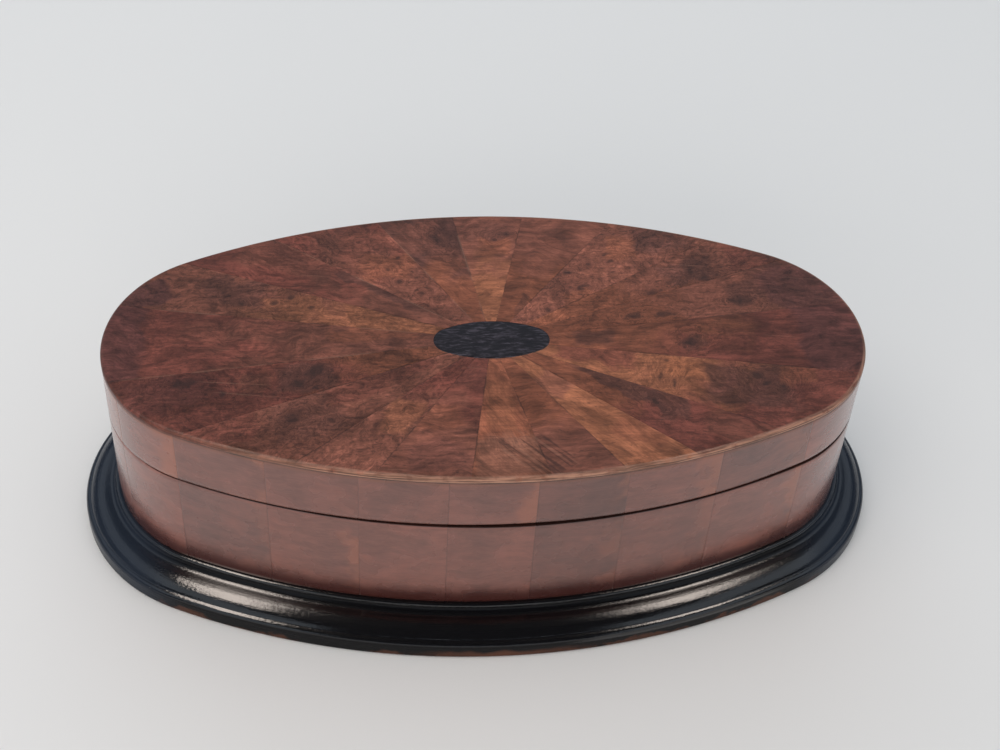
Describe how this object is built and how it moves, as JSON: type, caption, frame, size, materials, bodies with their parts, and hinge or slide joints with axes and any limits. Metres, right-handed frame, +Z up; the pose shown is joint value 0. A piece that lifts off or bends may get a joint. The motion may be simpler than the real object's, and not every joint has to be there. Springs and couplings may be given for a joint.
{
  "type": "oval wooden box",
  "caption": "Oval lidded wooden box with a radiating veneered top, an ebony centre oval, a moulded black plinth and a hinged lid.",
  "frame": {"origin": "middle of the plinth's underside, on the surface that the box stands on", "axes": "+X along the box, +Y to the back where the hinges are, +Z up"},
  "size_m": [0.257, 0.141, 0.0679],
  "materials": {
    "burr_veneer": "satin",
    "side_veneer": "satin",
    "ebony": "satin",
    "ebonised_wood": "gloss",
    "core_wood": "matte",
    "hinge_brass": "tarnished"
  },
  "bodies": {
    "case": {"base_plinth": "ebonised_wood", "floor_panel": "core_wood", "body_wall": "core_wood", "body_liner": "core_wood", "body_leaves_front": "side_veneer", "body_leaves_right": "side_veneer", "body_leaves_back": "side_veneer", "body_leaves_left": "side_veneer", "hinge_left_body_leaf": "hinge_brass", "hinge_right_body_leaf": "hinge_brass", "hinge_left_pin": "hinge_brass", "hinge_right_pin": "hinge_brass", "body_hinge_screws": "hinge_brass"},
    "lid": {"lid_rim": "core_wood", "lid_board": "core_wood", "centre_oval": "ebony", "lid_leaves_front": "side_veneer", "lid_leaves_right": "side_veneer", "lid_leaves_back": "side_veneer", "lid_leaves_left": "side_veneer", "top_wedge_01": "burr_veneer", "top_wedge_02": "burr_veneer", "top_wedge_03": "burr_veneer", "top_wedge_04": "burr_veneer", "top_wedge_05": "burr_veneer", "top_wedge_06": "burr_veneer", "top_wedge_07": "burr_veneer", "top_wedge_08": "burr_veneer", "top_wedge_09": "burr_veneer", "top_wedge_10": "burr_veneer", "top_wedge_11": "burr_veneer", "top_wedge_12": "burr_veneer", "top_wedge_13": "burr_veneer", "top_wedge_14": "burr_veneer", "top_wedge_15": "burr_veneer", "top_wedge_16": "burr_veneer", "top_wedge_17": "burr_veneer", "top_wedge_18": "burr_veneer", "top_wedge_19": "burr_veneer", "top_wedge_20": "burr_veneer", "hinge_left_lid_leaf": "hinge_brass", "hinge_right_lid_leaf": "hinge_brass", "lid_hinge_screws": "hinge_brass"}
  },
  "joints": [
    {"name": "lid_hinge", "type": "hinge", "parent": "case", "child": "lid", "pos_m": [0, 0.0585, 0.0475], "axis": [-1, 0, 0], "range_deg": [0, 100]}
  ]
}
